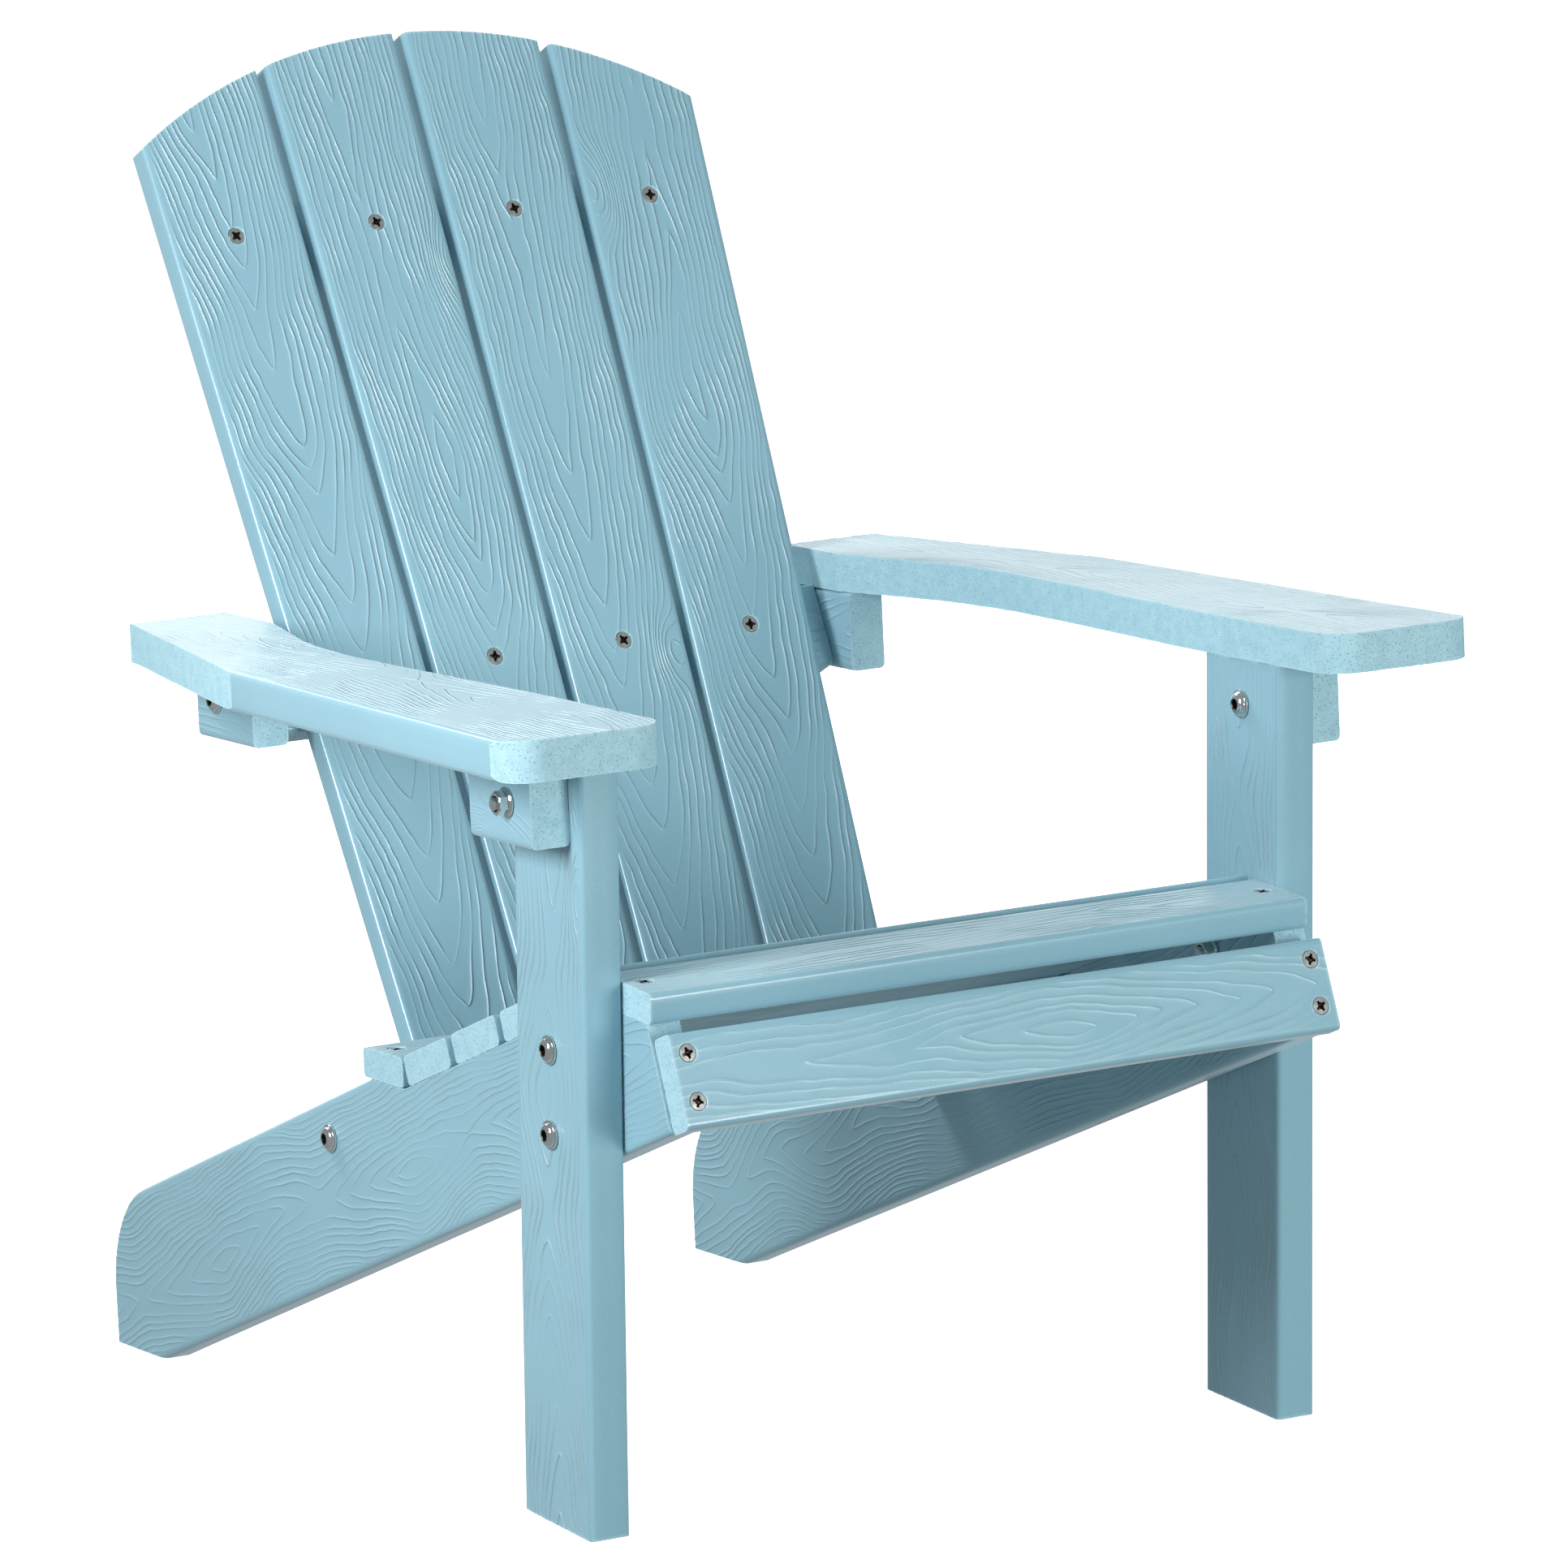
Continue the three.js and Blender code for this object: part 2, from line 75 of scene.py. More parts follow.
RAILS = {"lower": (0.0, 159.4), "mid": (222.3, 158.2), "upper": (453.0, 138.0)}  # height, half length
SEAT_SCREW_X, LEVEL_SCREW_Y = 166.5, 25.0
APRON_SCREW_X, APRON_SCREW_DROPS = 167.0, (9.8, 32.3)
POST_BOLT_HEIGHTS = {"upper": 226.0, "lower": 186.0}
ARM_BOLT_HEIGHT, BOLT_PAST_NUT, RAIL_BOLT_LENGTH = 344.0, 8.2, 45.0
MID_RAIL_BOLT, LOWER_RAIL_BOLT = (383.0, 347.4), (286.3, 143.4)

ACROSS = 0.75  # grid across the grain on an embossed face
ALONG = 1.7  # and along it
CUT_GRID = 1.4  # grid on a sawn face
RING_SPACING = 2.8  # millimetres across the board for each ring away from the axis
FLATTEST = 0.012  # rings per millimetre, where a ridge is at its widest


# ---------------------------------------------------------------- node helpers


class Nodes:
    """Adds shader nodes to a material and links them."""

    def __init__(self, name):
        self.material = bpy.data.materials.new(name)
        self.material.use_nodes = True
        self.tree = self.material.node_tree
        self.shader = self.tree.nodes["Principled BSDF"]

    def add(self, kind, inputs=None, **settings):
        node = self.tree.nodes.new("ShaderNode" + kind)
        for key, value in settings.items():
            setattr(node, key, value)
        for key, value in (inputs or {}).items():
            self.feed(node.inputs[key], value)
        return node

    def feed(self, socket, value):
        if isinstance(value, bpy.types.NodeSocket):
            self.tree.links.new(value, socket)
        else:
            socket.default_value = value

    def math(self, operation, a, b=None):
        inputs = {0: a} if b is None else {0: a, 1: b}
        return self.add("Math", inputs, operation=operation).outputs[0]

    def attribute(self, name):
        return self.add("Attribute", attribute_name=name).outputs["Fac"]

    def noise(self, scale, detail, roughness=0.5):
        inputs = {"Vector": self.place(), "Scale": scale, "Detail": detail, "Roughness": roughness}
        return self.add("TexNoise", inputs).outputs["Fac"]

    def place(self):
        return self.add("TexCoord").outputs["Object"]

    def ramp(self, value, low, high, to_low=0.0, to_high=1.0):
        """Spreads low to high over to_low to to_high, and stays within them."""
        inputs = {"Value": value, "From Min": low, "From Max": high, "To Min": to_low, "To Max": to_high}
        return self.add("MapRange", inputs, clamp=True).outputs[0]

    def mix(self, factor, a, b):
        node = self.add("Mix", data_type="RGBA")
        self.feed(node.inputs[0], factor)
        self.feed(node.inputs[6], a)
        self.feed(node.inputs[7], b)
        return node.outputs[2]

    def bump(self, height, distance, strength, normal=None):
        inputs = {"Height": height, "Distance": distance, "Strength": strength}
        if normal is not None:
            inputs["Normal"] = normal
        return self.add("Bump", inputs).outputs[0]


def rgb(r, g, b):
    return (r, g, b, 1.0)


# ---------------------------------------------------------------- materials


def lumber_skin():
    """Embossed plastic: ridges follow the grain attributes, over a fine leathery texture."""
    n = Nodes("lumber_skin")
    ring = n.attribute("ring")
    slope = n.math("MAXIMUM", n.attribute("slope"), FLATTEST)
    away = n.math("DIVIDE", n.math("SUBTRACT", n.math("FRACT", ring), 0.5), slope)
    bell = n.math("EXPONENT", n.math("MULTIPLY", n.math("POWER", n.math("ABSOLUTE", away), 2.0), -4.0))
    relief = n.attribute("relief")
    ridge = n.math("MULTIPLY", bell, relief)
    face = n.ramp(relief, 0.0, 0.2)
    cloud = n.noise(9.0, 3.0)
    fine = n.noise(900.0, 3.0, 0.65)
    grit = n.noise(2600.0, 2.0, 0.6)
    tone = n.mix(n.ramp(cloud, 0.3, 0.7), rgb(0.255, 0.480, 0.565), rgb(0.285, 0.520, 0.605))
    tone = n.mix(n.ramp(fine, 0.35, 0.75, 0.0, 0.35), tone, rgb(0.325, 0.560, 0.645))
    # The ridges' crests are painted paler: a painted highlight along each ridge, on top of the real shading
    # from the bump.
    tone = n.mix(n.math("MULTIPLY", ridge, 0.34), tone, rgb(0.56, 0.80, 0.86))
    tone = n.mix(n.math("MULTIPLY", n.attribute("rim"), 0.55), tone, rgb(0.55, 0.78, 0.84))
    n.feed(n.shader.inputs["Base Color"], tone)
    worn = n.ramp(n.math("SUBTRACT", fine, n.math("MULTIPLY", ridge, 0.5)), 0.0, 0.8, -0.08, 0.05)
    n.feed(n.shader.inputs["Roughness"], n.math("ADD", n.ramp(face, 0.0, 1.0, 0.24, 0.42), worn))
    n.shader.inputs["Specular IOR Level"].default_value = 0.9
    n.shader.inputs["Sheen Weight"].default_value = 0.35
    n.shader.inputs["Sheen Roughness"].default_value = 0.4
    height = n.math("ADD", n.math("MULTIPLY", fine, 0.5), n.math("MULTIPLY", grit, 0.25))
    height = n.math("MULTIPLY", height, n.ramp(face, 0.0, 1.0, 0.12, 1.0))
    normal = n.bump(height, 0.00010, 0.6)
    normal = n.bump(ridge, 0.00070, 1.0, normal)
    n.feed(n.shader.inputs["Normal"], normal)
    return n.material


def lumber_cut():
    """Sawn and milled faces: the core shows as pale speckle and open pits."""
    n = Nodes("lumber_cut")
    speckle = n.noise(1500.0, 3.0, 0.7)
    blotch = n.noise(140.0, 3.0, 0.6)
    pits = n.add("TexVoronoi", {"Vector": n.place(), "Scale": 700.0}, feature="F1").outputs["Distance"]
    open_pit = n.ramp(pits, 0.10, 0.26, 1.0, 0.0)
    tone = n.mix(n.ramp(blotch, 0.35, 0.7), rgb(0.325, 0.585, 0.665), rgb(0.410, 0.665, 0.740))
    tone = n.mix(n.ramp(speckle, 0.46, 0.72, 0.0, 0.8), tone, rgb(0.58, 0.80, 0.86))
    # The open pits are painted dark: painted shade inside them, since the bump gives them no real depth.
    tone = n.mix(n.math("MULTIPLY", open_pit, 0.6), tone, rgb(0.10, 0.25, 0.32))
    tone = n.mix(n.math("MULTIPLY", n.attribute("rim"), 0.45), tone, rgb(0.55, 0.79, 0.85))
    n.feed(n.shader.inputs["Base Color"], tone)
    n.feed(n.shader.inputs["Roughness"], n.ramp(speckle, 0.3, 0.7, 0.55, 0.75))
    height = n.math("SUBTRACT", n.math("MULTIPLY", speckle, 0.6), n.math("MULTIPLY", open_pit, 0.8))
    n.feed(n.shader.inputs["Normal"], n.bump(height, 0.00035, 0.8))
    return n.material


def steel(name, colour, low, high):
    """Polished or plated steel with faint turning marks and smudges."""
    n = Nodes(name)
    n.shader.inputs["Metallic"].default_value = 1.0
    smudge = n.noise(260.0, 4.0, 0.6)
    marks = n.noise(2200.0, 2.0, 0.5)
    tone = n.mix(n.ramp(smudge, 0.35, 0.7), rgb(*[c * 0.86 for c in colour]), rgb(*colour))
    n.feed(n.shader.inputs["Base Color"], tone)
    n.feed(n.shader.inputs["Roughness"], n.ramp(smudge, 0.3, 0.7, low, high))
    n.feed(n.shader.inputs["Normal"], n.bump(marks, 0.000004, 0.3))
    return n.material


def floor_material():
    """White paper, bright enough by itself to have no horizon."""
    n = Nodes("floor_paper")
    cloud = n.noise(1.5, 3.0)
    n.feed(n.shader.inputs["Base Color"], n.mix(cloud, rgb(0.90, 0.90, 0.90), rgb(0.93, 0.93, 0.93)))
    n.shader.inputs["Roughness"].default_value = 0.8
    n.shader.inputs["Specular IOR Level"].default_value = 0.0
    n.shader.inputs["Emission Color"].default_value = rgb(1.0, 1.0, 1.0)
    n.shader.inputs["Emission Strength"].default_value = 0.84
    return n.material


SKIN = lumber_skin()
CUT = lumber_cut()
STEEL = steel("polished_steel", (0.86, 0.84, 0.81), 0.08, 0.16)
SCREW_STEEL = steel("screw_steel", (0.80, 0.77, 0.73), 0.20, 0.34)
# Near-black steel for hexagon sockets, cross recesses and bores: partly dark oxide, partly painted shade
# that darkens these hollows.
RECESS_OXIDE_AND_SHADE = steel("recess_oxide_and_shade_steel", (0.09, 0.08, 0.07), 0.32, 0.50)


# ---------------------------------------------------------------- the embossed grain


class Grain:
    """The pattern of a flat-sawn board: growth rings round an axis that wanders under the face.

    centre and depth list (place along the board, value): where across the board the axis runs, in
    millimetres, and how deep it lies, in rings. Lines bend round the knots, each of them (across,
    along, rings, radius across, radius along). strength scales the height of the ridges.
    """

    def __init__(self, seed, centre, depth, knots=(), strength=1.0):
        self.strength = strength
        self.centre = self.smooth(centre, 12.0)
        self.depth = self.smooth(depth, 5.0)
        self.knots = knots
        self.waves = []  # (turns along, turns across, phase, share)
        random = np.random.default_rng(seed)
        for length, share in ((150, 1.0), (70, 0.5), (34, 0.22), (15, 0.09)):
            for _ in range(3):
                along = 2 * math.pi / (length * random.uniform(0.8, 1.3))
                across = along * random.uniform(-2.4, 2.4)
                self.waves.append((along, across, random.uniform(0, 2 * math.pi), share))

    @staticmethod
    def smooth(points, width):
        """The points as a table with a step of 1 mm, its corners rounded over the width."""
        points = sorted(points)
        fine = np.arange(points[0][0] - 40, points[-1][0] + 40, 1.0)
        values = np.interp(fine, [p[0] for p in points], [p[1] for p in points])
        reach = np.arange(-3 * width, 3 * width + 1)
        kernel = np.exp(-0.5 * (reach / width) ** 2)
        padded = np.pad(values, len(reach) // 2, mode="edge")
        return fine, np.convolve(padded, kernel / kernel.sum(), mode="valid")

    def shift(self, across_by, along_by):
        """Moves the whole pattern."""
        self.centre = (self.centre[0] + along_by, self.centre[1] + across_by)
        self.depth = (self.depth[0] + along_by, self.depth[1])
        self.knots = [(w + across_by, l + along_by, *rest) for w, l, *rest in self.knots]
        return self

    def follow(self, start, lean):
        """Runs the pattern along a line that starts at the place across and leans by this slope."""
        places, values = self.centre
        self.centre = (places, values + start + lean * places)
        self.knots = [(w + start + lean * l, l, *rest) for w, l, *rest in self.knots]

    def noise(self, across, along, shift=0.0):
        total = np.zeros_like(along)
        for a, c, phase, share in self.waves:
            total += share * np.sin(a * along + c * across + phase + shift)
        return total / 3

    def rings(self, across, along):
        """The ring number at each place; a ridge runs where it is halfway between whole numbers."""
        centre = np.interp(along, *self.centre)
        depth = np.interp(along, *self.depth)
        apart = np.abs(across - centre + 2.4 * self.noise(across, along)) / RING_SPACING
        offset = 0.70 * apart + 0.012 * apart ** 2
        ring = (offset ** 1.4 + depth ** 1.4 + 0.02) ** (1 / 1.4)
        for w, l, bend, wide, long in self.knots:
            ring = ring + bend * np.exp(-((across - w) / wide) ** 2 - ((along - l) / long) ** 2)
        return ring + 0.5 + 0.12 * np.sin(2.3 * ring) + 0.07 * np.sin(5.1 * ring)

    def fields(self, across, along):
        """Ring number, rings per millimetre, and how far the ridges stand out here (0 to 1)."""
        step = 0.15
        ring = self.rings(across, along)
        slope_w = (self.rings(across + step, along) - ring) / step
        slope_l = (self.rings(across, along + step) - ring) / step
        slope = np.sqrt(slope_w ** 2 + slope_l ** 2)
        patchy = self.noise(across, along, 2.0) + 0.6 * self.noise(3.1 * across, 2.3 * along, 4.0)
        relief = np.clip(0.62 + 0.55 * patchy, 0.22, 1.0)
        return ring, slope, relief * self.strength

    def height(self, across, along):
        """The shape of the ridges, as a share of the full relief."""
        ring, slope, relief = self.fields(across, along)
        away = (ring % 1.0 - 0.5) / np.maximum(slope, FLATTEST)
        return relief * np.exp(-(away / 1.1) ** 2)


def random_grain(seed, width, length, strength=1.0):
    """A grain of the same kind, laid out at random: arches and closed ovals one after another."""
    random = np.random.default_rng(seed)
    depth, centre = [], []
    along, value, way = -30.0, random.uniform(0, 6), random.choice([-1, 1])
    while along < length + 30:
        depth.append((along, abs(value)))
        centre.append((along, width * random.uniform(0.36, 0.64)))
        run = random.uniform(40, 110)
        value += way * run / random.uniform(17, 30)
        along += run
        if random.random() < 0.42 or abs(value) > 11:
            way = -way
    knots = []
    for _ in range(random.integers(0, 3)):
        side = random.choice([0.08, 0.92])
        bend = random.uniform(2.5, 4.5)
        knots.append((width * side, random.uniform(0, length), bend, 7.0, 20.0))
    return Grain(seed + 1000, centre, depth, knots, strength)


# ---------------------------------------------------------------- meshes


def new_mesh(name, points, loops, starts, sizes):
    mesh = bpy.data.meshes.new(name)
    mesh.vertices.add(len(points))
    mesh.vertices.foreach_set("co", np.asarray(points, np.float32).ravel())
    mesh.loops.add(len(loops))
    mesh.loops.foreach_set("vertex_index", np.asarray(loops, np.int32))
    mesh.polygons.add(len(starts))
    mesh.polygons.foreach_set("loop_start", np.asarray(starts, np.int32))
    mesh.polygons.foreach_set("loop_total", np.asarray(sizes, np.int32))
    mesh.update(calc_edges=True)
    mesh.validate()
    return mesh


def tube_mesh(name, rings):
    """A closed mesh through rings of points, shaped (stations, points, 3), capped at both ends."""
    stations, count = rings.shape[:2]
    ids = np.arange(stations * count).reshape(stations, count)
    ahead = np.roll(ids, -1, axis=1)
    quads = np.stack([ids[:-1], ahead[:-1], ahead[1:], ids[1:]], axis=-1).reshape(-1, 4)
    first, last = ids[0][::-1], ids[-1]
    corner = rings[0, 0]
    following = np.roll(rings, -1, axis=1)
    a, b, c = rings[:-1] - corner, following[:-1] - corner, following[1:] - corner
    inside_out = np.einsum("ijk,ijk->", np.cross(a, b), c) < 0
    if inside_out:
        quads, first, last = quads[:, ::-1], first[::-1], last[::-1]
    loops = np.concatenate([quads.ravel(), first, last])
    starts = np.concatenate([np.arange(len(quads)) * 4, [len(quads) * 4, len(quads) * 4 + count]])
    sizes = np.concatenate([np.full(len(quads), 4), [count, count]])
    return new_mesh(name, rings.reshape(-1, 3), loops, starts, sizes)


def link(name, mesh, *materials):
    obj = bpy.data.objects.new(name, mesh)
    bpy.context.scene.collection.objects.link(obj)
    for material in materials:
        mesh.materials.append(material)
    return obj


def carve(obj, tool, operation):
    """Applies a boolean with the tool and removes the tool. The tool's material marks the new faces."""
    modifier = obj.modifiers.new("carve", "BOOLEAN")
    modifier.operation = operation
    modifier.solver = "MANIFOLD"
    modifier.object = tool
    modifier.material_mode = "TRANSFER"
    bpy.context.view_layer.update()
    mesh = bpy.data.meshes.new_from_object(obj.evaluated_get(bpy.context.evaluated_depsgraph_get()))
    obj.modifiers.clear()
    old, obj.data = obj.data, mesh
    bpy.data.meshes.remove(old)
    bpy.data.meshes.remove(tool.data)


def resample(outline, spacing):
    """The closed outline with no stretch longer than the spacing, keeping its own corners."""
    points = []
    for a, b in zip(outline, outline[1:] + outline[:1]):
        a, b = np.array(a, float), np.array(b, float)
        count = max(1, math.ceil(np.linalg.norm(b - a) / spacing))
        points += [a + (b - a) * i / count for i in range(count)]
    return np.array(points)


def saw_tool(outline, thick, seed):
    """A prism on the outline, longer than the board is thick, with faintly rough sawn walls."""
    flat = resample(outline, CUT_GRID)
    tangent = np.roll(flat, -1, axis=0) - np.roll(flat, 1, axis=0)
    normal = np.stack([tangent[:, 1], -tangent[:, 0]], axis=1)
    normal /= np.maximum(np.linalg.norm(normal, axis=1, keepdims=True), 1e-9)
    levels = np.concatenate([[-4.0], np.arange(-0.5, thick + 0.5, CUT_GRID), [thick + 4.0]])
    random = np.random.default_rng(seed)
    rough = random.normal(0.0, 0.035, (len(levels), len(flat)))
    rough[0] = rough[-1] = 0.0
    rings = np.empty((len(levels), len(flat), 3))
    rings[..., :2] = flat[None] + normal[None] * rough[..., None]
    rings[..., 2] = levels[:, None]
    return link("saw", tube_mesh("saw", rings), CUT)


def stock_rings(edges, l0, l1, thick, front, back):
    """Rings of a rounded board with embossed faces: w between edges(l), l from l0 to l1.

    w is the place across the board and l the place along it, and the back face is at height 0.
    """
    stations = np.linspace(l0, l1, max(2, int((l1 - l0) / ALONG)))
    lo, hi = edges(stations)
    turn = np.linspace(0, math.pi / 2, 5)[1:-1]
    late = [ROUND * (1 - math.sin(a)) for a in turn]  # the two legs of a round-over's points
    early = [ROUND * (1 - math.cos(a)) for a in turn]
    count = max(2, int((float(np.max(hi - lo)) - 2 * ROUND) / ACROSS))
    side = np.linspace(thick - ROUND, ROUND, 4)
    # One section of the board: share of the width, inset from the edge, height, and the face it is on.
    section = [(k, ROUND * (1 - 2 * k), thick, 1) for k in np.linspace(0, 1, count)]
    section += [(1, -a, thick - b, 0) for a, b in zip(late, early)]
    section += [(1, 0.0, t, 0) for t in side]
    section += [(1, -a, b, 0) for a, b in zip(early, late)]
    section += [(k, ROUND * (1 - 2 * k), 0.0, -1) for k in np.linspace(1, 0, count)]
    section += [(0, a, b, 0) for a, b in zip(late, early)]
    section += [(0, 0.0, t, 0) for t in side[::-1]]
    section += [(0, a, thick - b, 0) for a, b in zip(early, late)]
    share, inset, height, face = np.array(section).T

    rings = np.empty((len(stations), len(section), 3))
    rings[..., 0] = lo[:, None] * (1 - share) + hi[:, None] * share + inset
    rings[..., 1] = stations[:, None]
    rings[..., 2] = height
    for way, grain in ((1, front), (-1, back)):
        w, l = rings[:, face == way, 0], rings[:, face == way, 1]
        fade = edge_fade(w, lo[:, None], hi[:, None])
        rings[:, face == way, 2] += way * RELIEF * fade * grain.height(w, l)
    return rings


def edge_fade(w, lo, hi):
    """How much of the embossing is left this near to the board's edges, 0 to 1."""
    inside = np.minimum(w - lo, hi - w) - ROUND
    return np.clip(inside / 2.0, 0, 1)


def plain_edges(w0, w1):
    """The edges of a board of even width."""
    return lambda l: (np.full_like(l, w0), np.full_like(l, w1))


class Board:
    """A board laid out in its own plane: lay is (origin, across, along) in that plane's axes."""

    def __init__(self, name, where, thick, edges, l0, l1, front, back, lay=((0, 0), (1, 0), (0, 1))):
        self.name, self.where, self.thick = name, where, thick
        self.edges, self.front, self.back = edges, front, back
        self.origin, self.across, self.along = (np.array(v, float) for v in lay)
        rings = stock_rings(edges, l0 - SPARE, l1 + SPARE, thick, front, back)
        flat = self.origin + rings[..., :1] * self.across + rings[..., 1:2] * self.along
        rings[..., 0], rings[..., 1] = flat[..., 0], flat[..., 1]
        self.obj = link(name, tube_mesh(name, rings), SKIN, CUT)

    def saw(self, outline, seed):
        carve(self.obj, saw_tool(outline, self.thick, seed), "INTERSECT")
        return self

    def drill(self, tools):
        for tool in tools:
            carve(self.obj, tool, "DIFFERENCE")
        return self

    def finish(self):
        """Stores the grain on the vertices for the material, and moves the board to its place."""
        mesh = self.obj.data
        points = np.empty(len(mesh.vertices) * 3, np.float32)
        mesh.vertices.foreach_get("co", points)
        points = points.reshape(-1, 3).astype(float)
        flat = points[:, :2] - self.origin
        w, l = flat @ self.across, flat @ self.along
        lo, hi = self.edges(l)
        fade = edge_fade(w, lo, hi)
        ring, slope, relief = np.zeros_like(w), np.ones_like(w), np.zeros_like(w)
        upper = points[:, 2] > self.thick / 2
        flat_zone = np.abs(points[:, 2] - self.thick / 2) > self.thick / 2 - 0.05
        for grain, mask in ((self.front, upper & flat_zone), (self.back, ~upper & flat_zone)):
            ring[mask], slope[mask], relief[mask] = grain.fields(w[mask], l[mask])
        relief *= fade
        for name, values in (("ring", ring), ("slope", slope), ("relief", relief), ("rim", self.rim())):
            layer = mesh.attributes.new(name, "FLOAT", "POINT")
            layer.data.foreach_set("value", values.astype(np.float32))
        mesh.transform(self.where)
        if self.where.determinant() < 0:
            mesh.flip_normals()
        mesh.shade_smooth()
        mesh.set_sharp_from_angle(angle=math.radians(35))
        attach(self.obj, "root")
        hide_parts(self.name)
        return self.obj

    def rim(self):
        """1 on vertices where skin meets a sawn face, for the pale ragged line there."""
        mesh = self.obj.data
        polygon = np.empty(len(mesh.polygons), np.int32)
        mesh.polygons.foreach_get("material_index", polygon)
        totals = np.empty(len(mesh.polygons), np.int32)
        mesh.polygons.foreach_get("loop_total", totals)
        vertex = np.empty(len(mesh.loops), np.int32)
        mesh.loops.foreach_get("vertex_index", vertex)
        is_cut = np.repeat(polygon, totals) == 1
        cut, skin = np.zeros(len(mesh.vertices), bool), np.zeros(len(mesh.vertices), bool)
        cut[vertex[is_cut]] = True
        skin[vertex[~is_cut]] = True
        return (cut & skin).astype(float)


# ---------------------------------------------------------------- planes and places


def plane(y, z, angle):
    """X across the chair, Y up the board's width and Z out of its face, in metres."""
    move = Matrix.Translation((0, (y - ORIGIN_Y) * MM, z * MM))
    return move @ Matrix.Rotation(angle, 4, "X") @ Matrix.Scale(MM, 4)


def side_view(x):
    """An outline in (Y, Z), thick along +X."""
    turn = Matrix(((0, 0, 1, x), (1, 0, 0, -ORIGIN_Y), (0, 1, 0, 0), (0, 0, 0, 1)))
    return Matrix.Scale(MM, 4) @ turn


def start_x(side, inner, thick):
    """Where the thickness of a board on this side starts along X."""
    return inner if side > 0 else -inner - thick


def post_point(depth, height):
    """(Y, Z) of a place on a post: depth behind its front edge, height up its length."""
    return (
        depth * math.cos(POST_LEAN) - height * math.sin(POST_LEAN),
        depth * math.sin(POST_LEAN) + height * math.cos(POST_LEAN),
    )


def box_outline(x0, x1, y0, y1):
    return [(x0, y0), (x1, y0), (x1, y1), (x0, y1)]


def arc(cx, cy, r, start, end, steps=24):
    turns = [start + (end - start) * i / steps for i in range(steps + 1)]
    return [(cx + r * math.cos(turn), cy + r * math.sin(turn)) for turn in turns]


SIN, COS = math.sin(STRINGER_SLOPE), math.cos(STRINGER_SLOPE)  # of the stringers' slope
FRONT_END = (FOOT_FRONT - STRINGER_LENGTH * COS, STRINGER_LENGTH * SIN)
NOSE_PLANE = plane(*NOSE, NOSE_TILT)
LEVEL_PLANE = plane(LEVEL_FRONT, LEVEL_TOP, 0.0)
APRON_PLANE = plane(
    FRONT_END[0] - STAND_OFF * COS, FRONT_END[1] + STAND_OFF * SIN, math.pi / 2 - STRINGER_SLOPE
)
BACK_PLANE = plane(*BACK, math.pi / 2 - BACK_TILT)
RAIL_PLANE = BACK_PLANE @ Matrix.Translation((0, 0, -STAND_OFF))


def slat_edges(index, height):
    """The sides of a back slat at this height; the slats and their gaps widen upward."""
    half = 132.2 + 0.047 * height
    gap = 4.0 + 0.0027 * height
    pitch = (2 * half + gap) / 4
    start = -half + index * pitch
    return start, start + pitch - gap


def slat_middle(index, height):
    return sum(slat_edges(index, height)) / 2


# ---------------------------------------------------------------- fasteners, axis +Z, millimetres


def turned_mesh(name, profile, segments=48):
    """A closed lathe mesh from (radius, height) pairs that start and end near the axis."""
    angles = np.arange(segments) * 2 * math.pi / segments
    rings = np.empty((len(profile), segments, 3))
    for i, (r, z) in enumerate(profile):
        rings[i, :, 0] = max(r, 1e-3) * np.cos(angles)
        rings[i, :, 1] = max(r, 1e-3) * np.sin(angles)
        rings[i, :, 2] = z
    return tube_mesh(name, rings)


def prism(radius, z0, z1, sides, turn=0.0, top_radius=None, material=RECESS_OXIDE_AND_SHADE):
    """A closed prism, or with a top radius a cone, whose material marks what it cuts."""
    angles = np.arange(sides) * 2 * math.pi / sides + turn
    rings = np.empty((2, sides, 3))
    for i, (r, z) in enumerate(((radius, z0), (top_radius or radius, z1))):
        rings[i, :, 0] = r * np.cos(angles)
        rings[i, :, 1] = r * np.sin(angles)
        rings[i, :, 2] = z
    return link("tool", tube_mesh("tool", rings), material)


def thread(length, turns):
    """Profile points of the threaded end of an M6 bolt, from the tip up."""
    root, crest, pitch = 2.65, 3.0, 1.0
    points = [(0.0, -length), (2.3, -length), (root, -length + 0.4)]
    z = -length + 0.5
    for _ in range(turns):
        points += [(root, z), (crest, z + 0.5 * pitch)]
        z += pitch
    return points + [(root, z), (crest, z + 0.4)]


def bolt_mesh(name, length):
    """A button-head flange bolt with a hexagon socket, its flange bearing on Z = 0."""
    profile = thread(length, 10)
    profile += [(3.0, -0.6), (3.4, -0.1)]
    profile += [(6.7, 0.0), (6.9, 0.2), (6.9, 0.8), (6.75, 1.05), (6.2, 1.2)]  # the flange
    for i in range(9):
        turn = i / 8 * math.radians(62)
        profile.append((5.75 * math.cos(turn) - 0.05, 1.2 + 2.9 * math.sin(turn)))
    profile += [(2.5, 3.83), (0.0, 3.86)]
    obj = link(name, turned_mesh(name, profile), STEEL)
    carve(obj, prism(2.6, 0.9, 5.0, 6, 0.3), "DIFFERENCE")
    carve(obj, prism(2.31, 3.25, 4.4, 24, 0.0, 3.9), "DIFFERENCE")
    return settle(obj)


